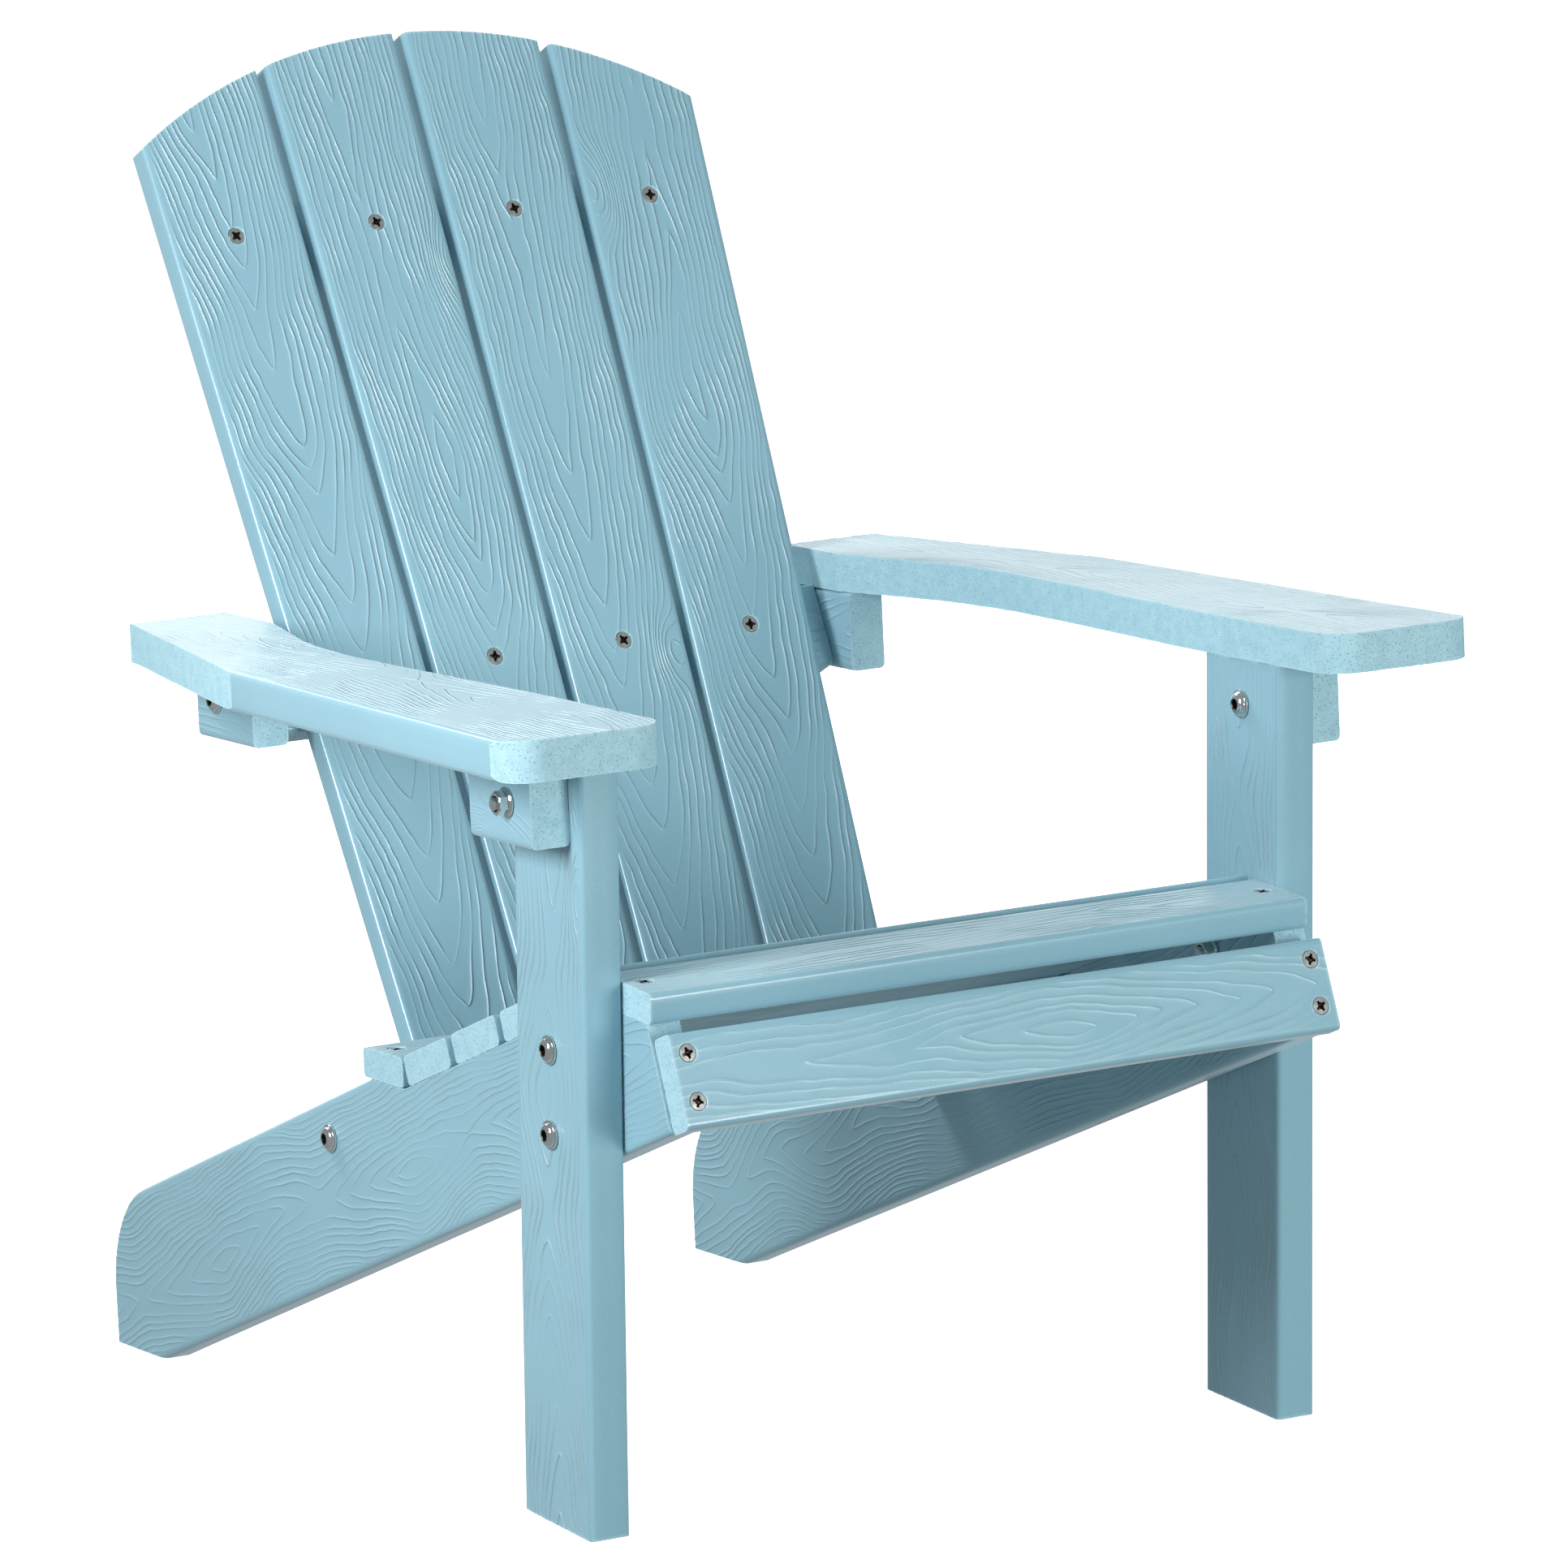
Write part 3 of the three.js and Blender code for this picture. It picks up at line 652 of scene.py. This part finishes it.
def nut_mesh(name):
    """A hexagon flange nut with chamfered corners and a threaded bore."""
    rim = [(0, 0.0), (6.9, 0.0), (7.1, 0.25), (7.1, 0.7), (6.9, 0.95), (5.9, 1.6), (0, 1.7)]
    corners = [(0, 0.0), (6.4, 0.0), (6.4, 4.9), (4.9, 6.0), (0, 6.01)]
    flange = link(name, turned_mesh(name, rim), STEEL)
    hexagon = prism(5.77, 0.4, 6.0, 6, material=STEEL)
    carve(hexagon, link("chamfer", turned_mesh("chamfer", corners), STEEL), "INTERSECT")
    carve(flange, hexagon, "UNION")
    carve(flange, prism(3.3, -1.0, 7.0, 32), "DIFFERENCE")
    carve(flange, prism(3.2, 5.3, 6.6, 32, 0.0, 4.3), "DIFFERENCE")
    return settle(flange)


def screw_mesh(name):
    """A countersunk cross-recess screw, its head level with Z = 0."""
    profile = [(0.0, -30.0), (0.4, -28.6), (1.5, -26.0)]
    z = -25.5
    while z < -8.0:
        profile += [(1.35, z), (2.0, z + 0.7)]
        z += 1.4
    profile += [(1.9, -6.5), (1.9, -3.1), (3.85, -0.55)]
    profile += [(4.1, -0.45), (4.12, -0.12), (3.95, 0.0), (0.0, 0.12)]  # the head
    obj = link(name, turned_mesh(name, profile, 40), SCREW_STEEL)
    for turn in (0.0, math.pi / 2):
        blade = prism(1.0, -2.2, 1.0, 4, math.pi / 4)
        blade.data.transform(Matrix.Diagonal((3.9, 0.95, 1, 1)))
        blade.data.transform(Matrix.Rotation(turn, 4, "Z"))
        carve(obj, blade, "DIFFERENCE")
    carve(obj, prism(0.5, -2.8, 0.9, 16, 0.0, 2.1), "DIFFERENCE")
    return settle(obj)


def settle(obj):
    """Keeps the finished mesh of a fastener and drops the object that it was made on."""
    mesh = obj.data
    mesh.transform(Matrix.Scale(MM, 4))
    mesh.shade_smooth()
    mesh.set_sharp_from_angle(angle=math.radians(32))
    bpy.data.objects.remove(obj)
    return mesh


FASTENER_RANDOM = np.random.default_rng(77)


def place_fastener(name, mesh, matrix, replaces=True):
    """matrix is in metres with no scale; each fastener is turned a little differently."""
    obj = bpy.data.objects.new(name, mesh)
    bpy.context.scene.collection.objects.link(obj)
    obj.matrix_world = matrix @ Matrix.Rotation(FASTENER_RANDOM.uniform(0, math.pi), 4, "Z")
    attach(obj, "root")
    if replaces:
        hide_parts(name)


def side_place(x, y, z, way):
    """A place just off a side face, its axis pointing along X the given way."""
    move = Matrix.Translation((x * MM, (y - ORIGIN_Y) * MM, z * MM))
    return move @ Matrix.Rotation(way * math.pi / 2, 4, "Y")


def screw_hole(x, y, face):
    """The countersunk hole for a screw at (x, y) of a face at height face."""
    profile = [(0.0, -40.0), (2.2, -40.0), (2.2, -3.6), (4.35, -0.9)]
    profile += [(4.45, -0.25), (4.75, 0.15), (4.9, 2.0), (0.0, 2.0)]  # the mouth
    tool = link("hole", turned_mesh("hole", profile, 32), CUT)
    tool.data.transform(Matrix.Translation((x, y, face)))
    return tool


# ---------------------------------------------------------------- the boards

CROSS = ((0, 0), (0, 1), (1, 0))  # the grain runs along the first axis of the board's plane


def cross_board(name, where, half, y0, y1, thick, seed, screws=(), front=None):
    """A board across the chair, from y0 to y1 of the plane where, with its face at Z = 0."""
    down = where @ Matrix.Translation((0, 0, -thick))
    front = (front or random_grain(seed, y1 - y0, 2 * half)).shift(y0, -half)
    rear = random_grain(seed + 500, y1 - y0, 2 * half).shift(y0, -half)
    board = Board(name, down, thick, plain_edges(y0, y1), -half, half, front, rear, CROSS)
    board.saw(box_outline(-half, half, y0 - 5, y1 + 5), seed)
    board.drill([screw_hole(x, y, thick) for x, y in screws])
    return board.finish()


# ---- seat and apron


def sloped_plane(number):
    """The plane of a sloping seat slat, counted from the rear."""
    up = number * SEAT_PITCH
    y, z = SEAT_START[0] - up * math.cos(SEAT_SLOPE), SEAT_START[1] + up * math.sin(SEAT_SLOPE)
    return plane(y, z, -SEAT_SLOPE)


MIDDLE = SEAT_WIDTH / 2
SLAT_SCREWS, LEVEL_SCREWS = (
    [(-SEAT_SCREW_X, y), (SEAT_SCREW_X, y)] for y in (-MIDDLE, LEVEL_SCREW_Y)
)
APRON_SCREWS = [
    (x, APRON_TOP - drop) for x in (-APRON_SCREW_X, APRON_SCREW_X) for drop in APRON_SCREW_DROPS
]
SLOPED_PLANES = [sloped_plane(number) for number in (3, 2, 1, 0)]  # from the front

cross_board("seat_slat_1", NOSE_PLANE, SEAT_HALF, -SEAT_WIDTH, 0, SLAT, 21, SLAT_SCREWS)
for i, where in enumerate(SLOPED_PLANES):
    cross_board(f"seat_slat_{i + 2}", where, SEAT_HALF, -SEAT_WIDTH, 0, SLAT, 31 + i, SLAT_SCREWS)
cross_board("seat_slat_6", LEVEL_PLANE, SEAT_HALF, 0, LEVEL_WIDTH, SLAT, 41, LEVEL_SCREWS)
APRON_GRAIN = Grain(
    52, [(-30, 24), (120, 22), (230, 20), (380, 24)],
    [(-30, 5), (60, 4), (130, 2.8), (175, 1.3), (203, 0), (225, 1.2), (262, 3.2), (380, 9)], strength=0.5,
)
cross_board("apron", APRON_PLANE, APRON_HALF, APRON_BOTTOM, APRON_TOP, SLAT, 52, APRON_SCREWS, APRON_GRAIN)

# ---- back

for i, (rail, (height, half)) in enumerate(RAILS.items()):
    bottom, top = height - RAIL_WIDTH / 2, height + RAIL_WIDTH / 2
    cross_board(f"{rail}_back_rail", RAIL_PLANE, half, bottom, top, RAIL_THICK, 61 + i)

# Where the ring axis runs under each back slat, and how deep it lies, from the bottom up.
SLAT_GRAINS = [
    Grain(
        3,
        [(-30, 4), (280, 3), (450, -2), (560, -8)],
        [(-30, 22), (285, 10), (313, 9), (331, 8), (341, 7), (380, 6), (417, 5), (434, 4), (451, 3),
         (491, 2), (508, 1), (530, 0.2), (600, 0.2)],
    ),
    Grain(
        5,
        [(-30, 0), (222, 4), (325, 4), (430, -6), (560, -8)],
        [(-30, 17), (100, 11), (222, 6), (237, 5), (252, 4), (271, 3), (284, 2), (305, 1), (325, 0),
         (350, 1), (387, 2), (430, 2.7), (478, 2), (517, 1), (560, 0)],
        [(33, 428, 4.5, 9, 22)],
    ),
    Grain(
        8,
        [(-30, -6), (273, -6), (352, -5), (480, -3), (560, -4)],
        [(-30, 17), (100, 13), (218, 8), (273, 6), (314, 5), (352, 4), (445, 3), (479, 2), (497, 1),
         (530, 0), (600, 0.4)],
        [(24, 214, 4.0, 8, 18)],
    ),
    Grain(
        11,
        [(-30, 6), (209, 5), (359, 0), (460, 4), (560, 6)],
        [(-30, 16), (100, 11), (209, 6.5), (254, 5), (285, 4), (302, 3), (311, 2.2), (325, 1.2), (340, 0.6),
         (359, 0), (390, 1), (424, 2), (460, 2.8), (500, 3), (560, 2.5)],
        [(-28, 456, 5.0, 10, 24)],
    ),
]
BACK_OUTLINE = [(-CROWN_RADIUS, BACK_BOTTOM), (CROWN_RADIUS, BACK_BOTTOM)]
BACK_OUTLINE += arc(0, BACK_APEX - CROWN_RADIUS, CROWN_RADIUS, 0, math.pi, 180)
for i, grain in enumerate(SLAT_GRAINS):
    middle = slat_middle(i, 0)
    grain.follow(middle, (slat_middle(i, 100) - middle) / 100)
    rear = random_grain(90 + i, 70, 570).shift(middle - 35, -25)
    board = Board(
        f"back_slat_{i + 1}", BACK_PLANE @ Matrix.Translation((0, 0, -SLAT)), SLAT,
        lambda l, i=i: slat_edges(i, l), BACK_BOTTOM, BACK_APEX, grain, rear,
    )
    board.saw(BACK_OUTLINE, 70 + i)
    board.drill([screw_hole(slat_middle(i, height), height, SLAT) for height, _ in RAILS.values()])
    board.finish()

# ---- stringers


def crossing(a, b):
    """Where two lines in the side view meet; each is (y, z, rise)."""
    y = ((b[1] - b[0] * b[2]) - (a[1] - a[0] * a[2])) / (a[2] - b[2])
    return y, a[1] + (y - a[0]) * a[2]


def resting_line(point, angle):
    """The line that a slat's underside rests on, from its rear top edge."""
    return point[0] + STAND_OFF * math.sin(angle), point[1] - STAND_OFF * math.cos(angle), math.tan(angle)


def stringer_outline(clear=8.0):
    """The saw passes clear of the stock where the lumber keeps its own rounded edges."""
    upper = (FOOT_FRONT, STRINGER_WIDTH / COS, -SIN / COS)
    past_upper = (FOOT_FRONT, (STRINGER_WIDTH + clear) / COS, -SIN / COS)
    front_end = (*FRONT_END, COS / SIN)
    nose, sloped = resting_line(NOSE, NOSE_TILT), resting_line(SEAT_START, -SEAT_SLOPE)
    level = resting_line((LEVEL_FRONT, LEVEL_TOP), 0.0)
    cy = FOOT_REAR - STRINGER_RADIUS
    cz = upper[1] + (cy - upper[0]) * upper[2] - STRINGER_RADIUS / COS
    rounded = arc(cy, cz, STRINGER_RADIUS, 0, math.pi / 2 - STRINGER_SLOPE, 30)
    return [
        (FOOT_FRONT - clear / SIN, 0),
        (FOOT_REAR, 0),
        *rounded,
        (rounded[-1][0] + clear * SIN, rounded[-1][1] + clear * COS),
        crossing(past_upper, level),
        crossing(level, sloped),
        crossing(sloped, nose),
        crossing(nose, front_end),
        (FRONT_END[0] - clear * SIN, FRONT_END[1] - clear * COS),
    ]


STRINGER_LAY = (FRONT_END, (SIN, COS), (COS, -SIN))
for label, side in SIDES.items():
    seed = 110 if side > 0 else 120
    outer, inner = (random_grain(seed + k, STRINGER_WIDTH, 660, 0.55) for k in (0, 1))
    front, back = (outer, inner) if side > 0 else (inner, outer)
    where = side_view(start_x(side, STRINGER_INNER, STRINGER_THICK))
    board = Board(f"{label}_stringer", where, STRINGER_THICK, plain_edges(0, STRINGER_WIDTH), 0, 660,
                  front, back, STRINGER_LAY)
    board.saw(stringer_outline(), seed).finish()

# ---- posts

POST_LAY = ((0, 0), (math.cos(POST_LEAN), math.sin(POST_LEAN)), (-math.sin(POST_LEAN), math.cos(POST_LEAN)))
ARM_REST = ARM_UNDERSIDE - CLEARANCE
for label, side in SIDES.items():
    seed = 130 if side > 0 else 140
    grains = [random_grain(seed + k, POST_DEPTH, 380, 0.85) for k in (0, 1)]
    where = side_view(start_x(side, POST_INNER, POST_THICK))
    board = Board(f"{label}_post", where, POST_THICK, plain_edges(0, POST_DEPTH), 0, 375, *grains, POST_LAY)
    reach = post_point(2 * POST_DEPTH, 0)
    board.saw([(-reach[0], -reach[1]), reach, (reach[0], ARM_REST), (-reach[0], ARM_REST)], seed).finish()

# ---- arms


def spline(points, steps):
    """A Catmull-Rom curve through the points."""
    p = np.array([points[0]] + list(points) + [points[-1]], float)
    made = []
    for i in range(1, len(p) - 2):
        for k in range(steps):
            t = k / steps
            made.append(tuple(0.5 * (
                2 * p[i]
                + (p[i + 1] - p[i - 1]) * t
                + (2 * p[i - 1] - 5 * p[i] + 4 * p[i + 1] - p[i + 2]) * t ** 2
                + (3 * p[i] - p[i - 1] - 3 * p[i + 1] + p[i + 2]) * t ** 3
            )))
    return made + [tuple(p[-1])]


ARM_TAPER = math.atan2(ARM_OUTER_FRONT - ARM_OUTER_CUT, ARM_CUT_START - ARM_FRONT)


def arm_outline(clear=6.0):
    """The left arm's plan. Only its outer edge ahead of the diagonal cut is the lumber's own."""
    r = ARM_CORNER
    outer = ARM_OUTER_FRONT - r / math.cos(ARM_TAPER) - r * math.tan(ARM_TAPER)
    corner = arc(outer, ARM_FRONT + r, r, -math.pi / 2, ARM_TAPER)
    overrun = clear / (ARM_OUTER_CUT - ARM_OUTER_REAR)
    return [
        (ARM_INNER_REAR, ARM_REAR),
        *spline(ARM_SCALLOP, 10),
        *arc(ARM_INNER_FRONT + r, ARM_FRONT + r, r, math.pi, 1.5 * math.pi),
        *corner,
        (corner[-1][0] + clear, corner[-1][1]),
        (ARM_OUTER_CUT + clear, ARM_CUT_START - overrun * (ARM_CUT_END - ARM_CUT_START)),
        (ARM_OUTER_REAR, ARM_CUT_END),
        (ARM_OUTER_REAR, ARM_REAR),
    ]


ARM_LAY = (
    (ARM_OUTER_FRONT, ARM_FRONT),
    (math.cos(ARM_TAPER), math.sin(ARM_TAPER)),
    (-math.sin(ARM_TAPER), math.cos(ARM_TAPER)),
)
for label, side in SIDES.items():
    seed = 150 if side > 0 else 160
    upper, under = (random_grain(seed + k, 100, 490).shift(-100, 0) for k in (0, 1))
    where = plane(0, ARM_UNDERSIDE, 0) @ Matrix.Scale(side, 4, (1, 0, 0))
    board = Board(f"{label}_arm", where, ARM_THICK, plain_edges(-115, 0), 0, 490, upper, under, ARM_LAY)
    board.saw(arm_outline(), seed).finish()

# ---- arm blocks

for label, side in SIDES.items():
    for kind, size in (("front", FRONT_BLOCK), ("rear", REAR_BLOCK)):
        seed = 170 + 5 * side + len(kind)
        length = size["rear"] - size["front"]
        grains = [random_grain(seed + k, 41, length, 0.6) for k in (0, 40)]
        for grain in grains:
            grain.shift(size["bottom"], size["front"])
        where = side_view(start_x(side, size["inner"], size["thick"]))
        board = Board(f"{label}_{kind}_block", where, size["thick"], plain_edges(size["bottom"], ARM_REST),
                      size["front"], size["rear"], *grains, CROSS)
        ends = box_outline(size["front"], size["rear"], size["bottom"] - 5, ARM_REST + 5)
        board.saw(ends, seed).finish()

# ---------------------------------------------------------------- bolts, nuts and screws

POST_OUTER, STRINGER_OUTER = POST_INNER + POST_THICK, STRINGER_INNER + STRINGER_THICK
FRONT_BLOCK_OUTER = FRONT_BLOCK["inner"] + FRONT_BLOCK["thick"]
REAR_BLOCK_OUTER = REAR_BLOCK["inner"] + REAR_BLOCK["thick"]
THROUGH_POST = bolt_mesh("bolt_post", POST_OUTER - STRINGER_INNER + BOLT_PAST_NUT)
THROUGH_BLOCK = bolt_mesh("bolt_block", FRONT_BLOCK_OUTER - POST_INNER + BOLT_PAST_NUT)
INTO_RAIL = bolt_mesh("bolt_rail", RAIL_BOLT_LENGTH)
NUT = nut_mesh("flange_nut")
SCREW = screw_mesh("wood_screw")


def place_outward(name, mesh, side, face, y, z):
    """Puts a fastener on an outer face, CLEARANCE away from it, and pointing outward."""
    place_fastener(name, mesh, side_place(side * (face + CLEARANCE), y, z, side))


def place_inward(name, mesh, side, face, y, z):
    """Puts a fastener on an inner face in the same way, pointing inward."""
    place_fastener(name, mesh, side_place(side * (face - CLEARANCE), y, z, -side))


for label, side in SIDES.items():
    for row, height in POST_BOLT_HEIGHTS.items():
        y, z = post_point(POST_DEPTH / 2, height)
        place_outward(f"{label}_post_bolt_{row}", THROUGH_POST, side, POST_OUTER, y, z)
        place_inward(f"{label}_post_nut_{row}", NUT, side, STRINGER_INNER, y, z)
    y, z = post_point(POST_DEPTH / 2, ARM_BOLT_HEIGHT)
    place_inward(f"{label}_arm_bolt", THROUGH_BLOCK, side, POST_INNER, y, z)
    place_outward(f"{label}_arm_nut", NUT, side, FRONT_BLOCK_OUTER, y, z)
    place_outward(f"{label}_mid_rail_bolt", INTO_RAIL, side, REAR_BLOCK_OUTER, *MID_RAIL_BOLT)
    place_outward(f"{label}_lower_rail_bolt", INTO_RAIL, side, STRINGER_OUTER, *LOWER_RAIL_BOLT)


def place_screw(name, where, x, y, replaces=True):
    """Sinks a screw's head just below the face of the plane where."""
    matrix = where @ Matrix.Translation((x, y, -CLEARANCE)) @ Matrix.Scale(1 / MM, 4)
    place_fastener(name, SCREW, matrix, replaces)


for label, side in SIDES.items():
    place_screw(f"seat_screw_front_{label}", NOSE_PLANE, side * SEAT_SCREW_X, -MIDDLE)
    place_screw(f"seat_screw_rear_{label}", LEVEL_PLANE, side * SEAT_SCREW_X, LEVEL_SCREW_Y)
    for i, drop in enumerate(APRON_SCREW_DROPS):
        place_screw(f"apron_screw_{label}_{i + 1}", APRON_PLANE, side * APRON_SCREW_X, APRON_TOP - drop)
    for i, where in enumerate(SLOPED_PLANES):
        place_screw(f"seat_screw_slat_{i + 2}_{label}", where, side * SEAT_SCREW_X, -MIDDLE, False)
for rail, (height, _) in RAILS.items():
    for i in range(4):
        place_screw(f"back_screw_{rail}_{i + 1}", BACK_PLANE, slat_middle(i, height), height)

# ---------------------------------------------------------------- floor, light and camera

bpy.ops.mesh.primitive_plane_add(size=60)
floor = bpy.context.object
floor.name = "floor"
floor.data.materials.append(floor_material())
floor.visible_diffuse = floor.visible_glossy = False  # the paper throws no light back up

world = bpy.data.worlds.new("studio")
bpy.context.scene.world = world
world.use_nodes = True
background = world.node_tree.nodes["Background"]
background.inputs["Color"].default_value = rgb(0.84, 0.95, 1.0)
background.inputs["Strength"].default_value = 0.33


def area_light(name, place, target, size, power, colour):
    data = bpy.data.lights.new(name, "AREA")
    data.shape = "RECTANGLE"
    data.size, data.size_y = size
    data.energy = power
    data.color = colour
    light = bpy.data.objects.new(name, data)
    bpy.context.scene.collection.objects.link(light)
    light.location = place
    light.visible_camera = False
    light.rotation_mode = "QUATERNION"
    light.rotation_quaternion = (Vector(target) - Vector(place)).to_track_quat("-Z", "Y")


area_light("key_left", (-1.15, -0.36, 0.76), (0, 0, 0.3), (0.3, 0.5), 13.5, (1.0, 0.97, 1.0))
area_light("back_panel", (1.4, 2.6, 1.0), (0, 0, 0.4), (3.4, 1.6), 30, (1.0, 1.0, 1.0))
area_light("rear_top", (-0.4, 1.6, 1.9), (0, 0, 0.3), (0.8, 0.8), 29, (1.0, 0.99, 0.99))
area_light("fill_front", (0.7, -2.8, 0.35), (0, 0, 0.25), (0.9, 0.9), 41, (1.0, 1.0, 1.0))



def camera_turn(azimuth, elevation, roll):
    """The rotation of a camera that looks back along (azimuth, elevation), rolled about its view."""
    level = math.cos(elevation)
    behind = Vector((math.sin(azimuth) * level, -math.cos(azimuth) * level, math.sin(elevation)))
    rightward = Vector((math.cos(azimuth), math.sin(azimuth), 0.0))
    upward = behind.cross(rightward)
    rolled_right = math.cos(roll) * rightward + math.sin(roll) * upward
    rolled_up = -math.sin(roll) * rightward + math.cos(roll) * upward
    return Matrix((rolled_right, rolled_up, behind)).transposed().to_4x4()


CAMERA_PLACE = (-2.184807, -3.737733 - ORIGIN_Y * MM, 1.023167)
CAMERA_ANGLES = (math.radians(-29.4106), math.radians(9.0703), math.radians(-2.64465))
camera_data = bpy.data.cameras.new("camera")
camera_data.lens = 217.53
camera_data.sensor_width = 36.0
camera_data.clip_start, camera_data.clip_end = 0.1, 100.0
camera = bpy.data.objects.new("camera", camera_data)
bpy.context.scene.collection.objects.link(camera)
camera.matrix_world = Matrix.Translation(CAMERA_PLACE) @ camera_turn(*CAMERA_ANGLES)
bpy.context.scene.camera = camera

bpy.context.scene.view_settings.view_transform = "Standard"
bpy.context.scene.view_settings.look = "None"
